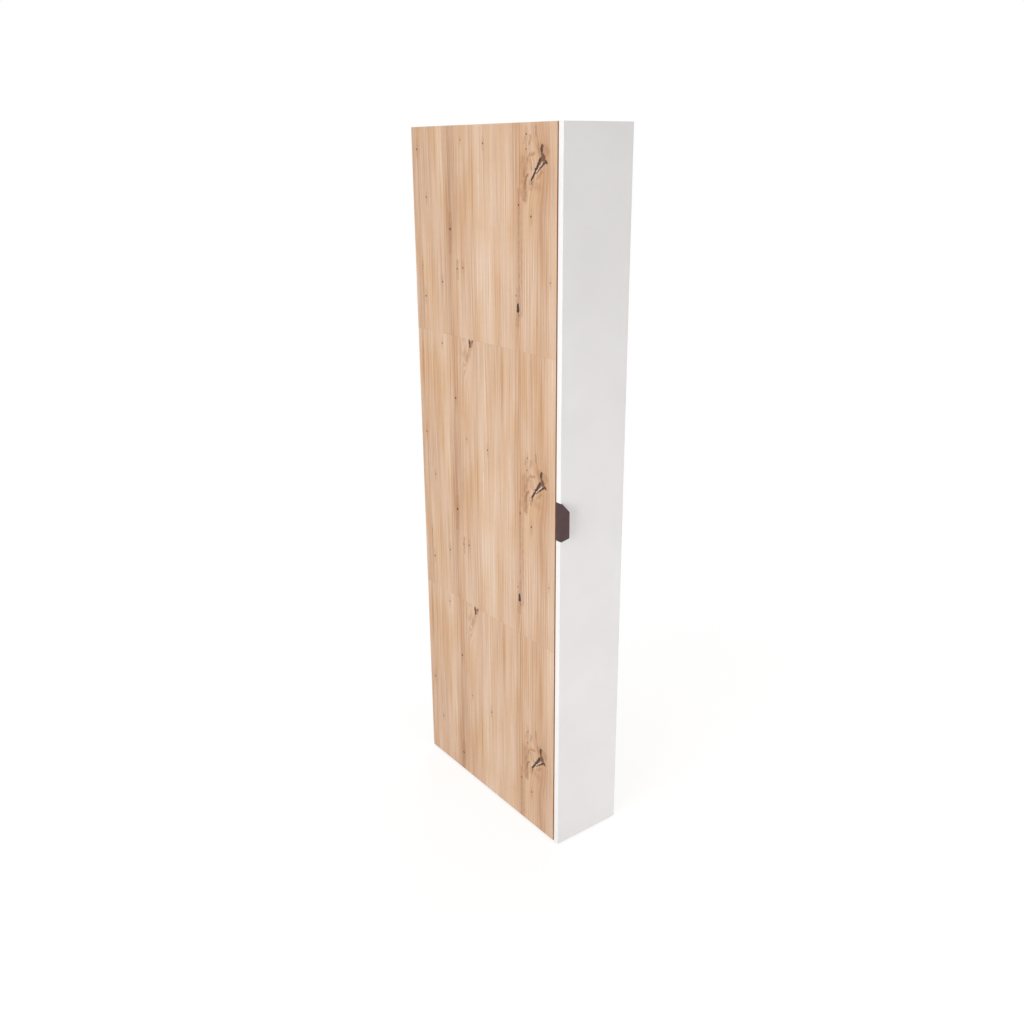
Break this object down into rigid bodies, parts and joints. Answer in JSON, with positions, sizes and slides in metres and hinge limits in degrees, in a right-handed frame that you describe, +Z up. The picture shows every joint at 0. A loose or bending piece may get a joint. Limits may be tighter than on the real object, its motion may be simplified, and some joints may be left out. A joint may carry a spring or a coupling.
{
  "type": "narrow laundry cabinet",
  "caption": "Tall, deep and very narrow laundry cabinet in knotty oak decor with a full-height white hinged door, an edge pull handle, shelves inside and concealed hinges.",
  "frame": {"origin": "middle of the outline on the floor, handle included, at floor level", "axes": "+Z up, the door faces -Y, +X to the right when the door is seen from the front"},
  "size_m": [0.2, 0.6236, 1.8],
  "materials": {
    "oak_board": "knotty oak decor on chipboard, matt",
    "oak_strip": "oak decor edge strip",
    "back_board": "white on thin fibre board",
    "white_board": "white, satin, on chipboard",
    "white_strip": "white edge strip",
    "handle_brown": "dark brown powder coat, satin",
    "plated_steel": "zinc plated",
    "hinge_steel": "nickel plated",
    "cam_zinc": "cast zinc alloy",
    "beech": "plain beech",
    "glide_plastic": "grey, matt",
    "bumper_rubber": "pale, soft"
  },
  "bodies": {
    "carcass": {"left_side_panel": "oak_board", "right_side_panel": "oak_board", "top_panel": "oak_board", "bottom_panel": "oak_board", "middle_shelf": "oak_board", "loose_shelf_1": "oak_board", "loose_shelf_2": "oak_board", "loose_shelf_3": "oak_board", "loose_shelf_4": "oak_board", "left_side_strip": "oak_strip", "right_side_strip": "oak_strip", "top_panel_strip": "oak_strip", "bottom_panel_strip": "oak_strip", "middle_shelf_strip": "oak_strip", "loose_shelf_strip_1": "oak_strip", "loose_shelf_strip_2": "oak_strip", "loose_shelf_strip_3": "oak_strip", "loose_shelf_strip_4": "oak_strip", "back_panel": "back_board", "shelf_pins": "plated_steel", "cam_bolts": "plated_steel", "glide_screws": "plated_steel", "back_panel_screws": "plated_steel", "wall_bracket_screws": "plated_steel", "hinge_plate_screws": "plated_steel", "hinge_clamp_screws": "plated_steel", "hinge_plate_1": "hinge_steel", "hinge_plate_2": "hinge_steel", "hinge_plate_3": "hinge_steel", "hinge_plate_4": "hinge_steel", "hinge_arm_1": "hinge_steel", "hinge_arm_2": "hinge_steel", "hinge_arm_3": "hinge_steel", "hinge_arm_4": "hinge_steel", "wall_bracket": "hinge_steel", "cam_housings": "cam_zinc", "dowels": "beech", "floor_glide_1": "glide_plastic", "floor_glide_2": "glide_plastic", "floor_glide_3": "glide_plastic", "floor_glide_4": "glide_plastic"},
    "door": {"door_panel": "white_board", "door_strip_left": "white_strip", "door_strip_right": "white_strip", "door_strip_top": "white_strip", "door_strip_bottom": "white_strip", "hinge_cup_1": "hinge_steel", "hinge_cup_2": "hinge_steel", "hinge_cup_3": "hinge_steel", "hinge_cup_4": "hinge_steel", "hinge_pins": "plated_steel", "hinge_cup_screws": "plated_steel", "door_handle": "handle_brown", "handle_screws": "plated_steel", "door_bumpers": "bumper_rubber"}
  },
  "joints": [
    {"name": "door_hinge", "type": "hinge", "parent": "carcass", "child": "door", "pos_m": [0.0918, -0.28067, 0.9], "axis": [0, 0, 1], "range_deg": [0, 105]}
  ]
}
